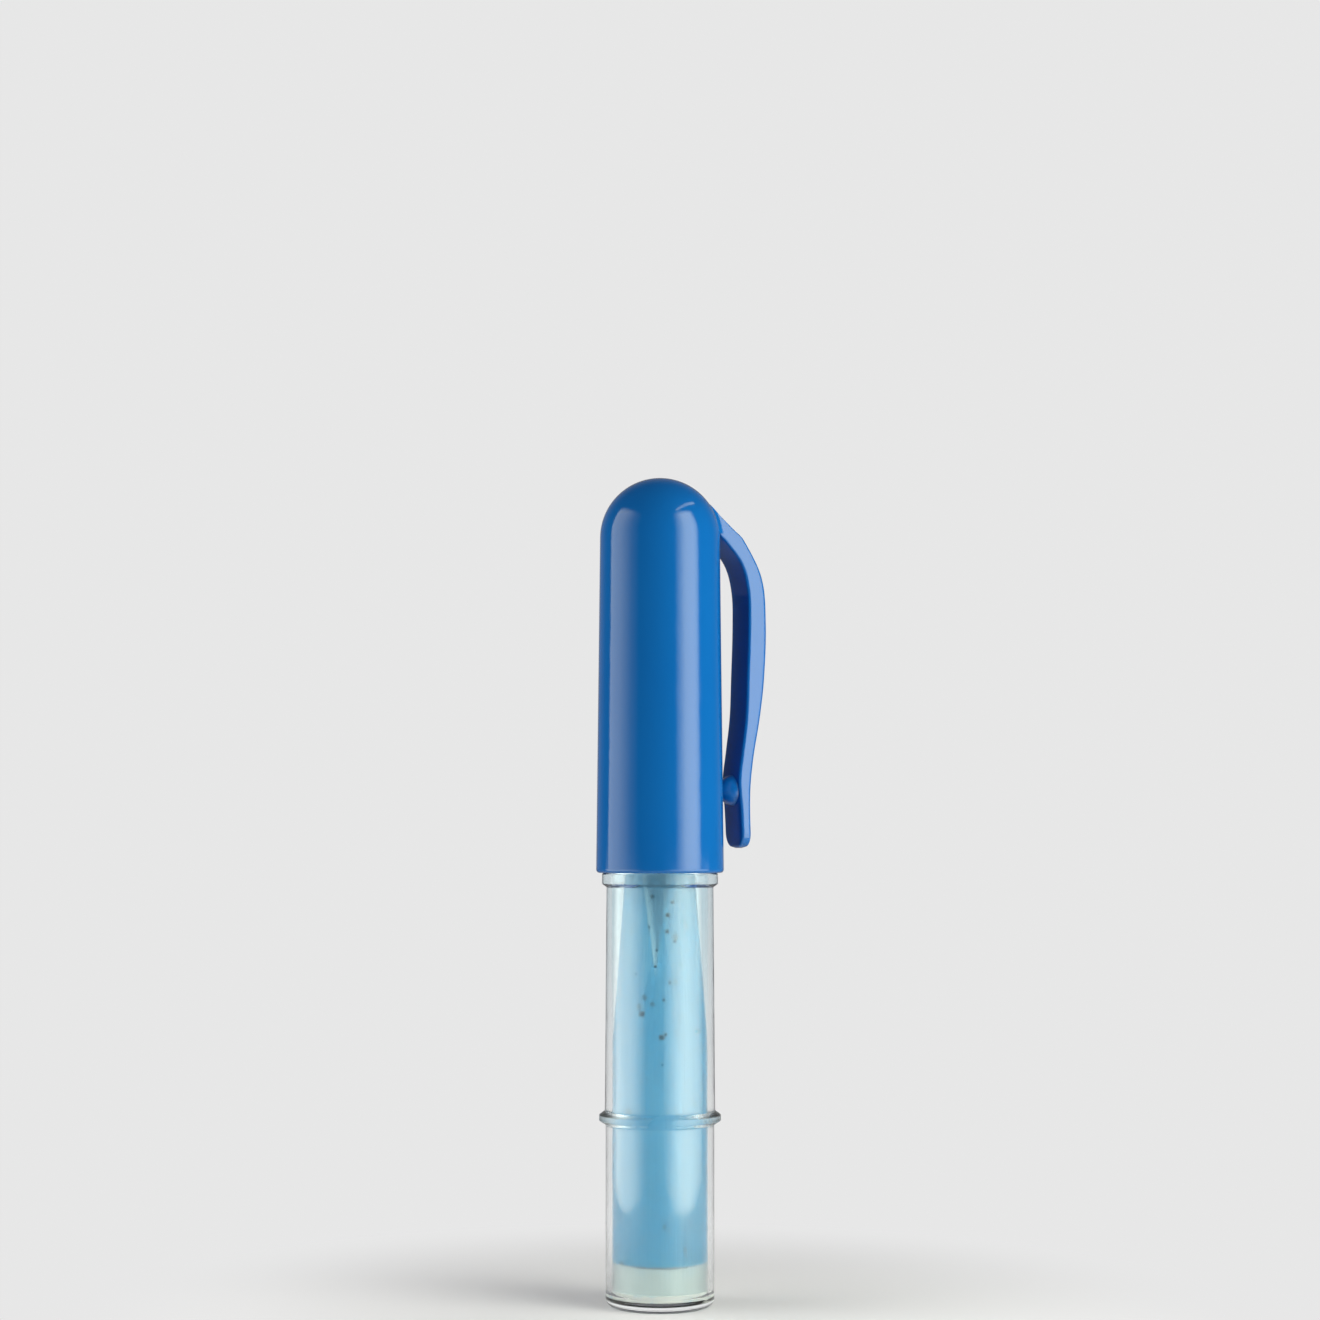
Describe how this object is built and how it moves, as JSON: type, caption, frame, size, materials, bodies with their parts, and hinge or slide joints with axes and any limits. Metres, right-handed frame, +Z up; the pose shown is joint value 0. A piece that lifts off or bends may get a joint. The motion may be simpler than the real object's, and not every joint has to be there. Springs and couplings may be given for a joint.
{
  "type": "chalk powder pen",
  "caption": "Capped pen with a clear barrel and a refill cartridge of powdered chalk, which a small toothed wheel in its nose lays as a thin line on cloth; the cap has a bowed clip.",
  "frame": {"origin": "centre of the flat end of the tail, on which the pen stands", "axes": "+Z up the pen's axis from the tail to the dome of the cap, +X towards the clip"},
  "size_m": [0.0241, 0.0174, 0.1128],
  "materials": {
    "blue_plastic": "gloss",
    "clear_plastic": "gloss",
    "frosted_plastic": "satin",
    "white_plastic": "satin",
    "blue_chalk": "matte",
    "steel": "satin"
  },
  "bodies": {
    "barrel": {"barrel": "clear_plastic"},
    "refill": {"cartridge": "frosted_plastic", "cartridge_plug": "white_plastic", "chalk_powder": "blue_chalk"},
    "nose": {"nose_cone": "blue_plastic", "axle_pin": "steel"},
    "wheel": {"wheel": "steel"},
    "cap": {"cap": "blue_plastic"}
  },
  "joints": [
    {"name": "cartridge_draw", "type": "slide", "parent": "barrel", "child": "refill", "axis": [0, 0, 1], "range_m": [0, 0.066]},
    {"name": "nose_pull", "type": "slide", "parent": "refill", "child": "nose", "axis": [0, 0, 1], "range_m": [0, 0.012]},
    {"name": "cap_pull", "type": "slide", "parent": "nose", "child": "cap", "axis": [0, 0, 1], "range_m": [0, 0.045]},
    {"name": "wheel_spin", "type": "hinge", "parent": "nose", "child": "wheel", "pos_m": [0, 0, 0.0991], "axis": [0, 1, 0], "continuous": true}
  ]
}
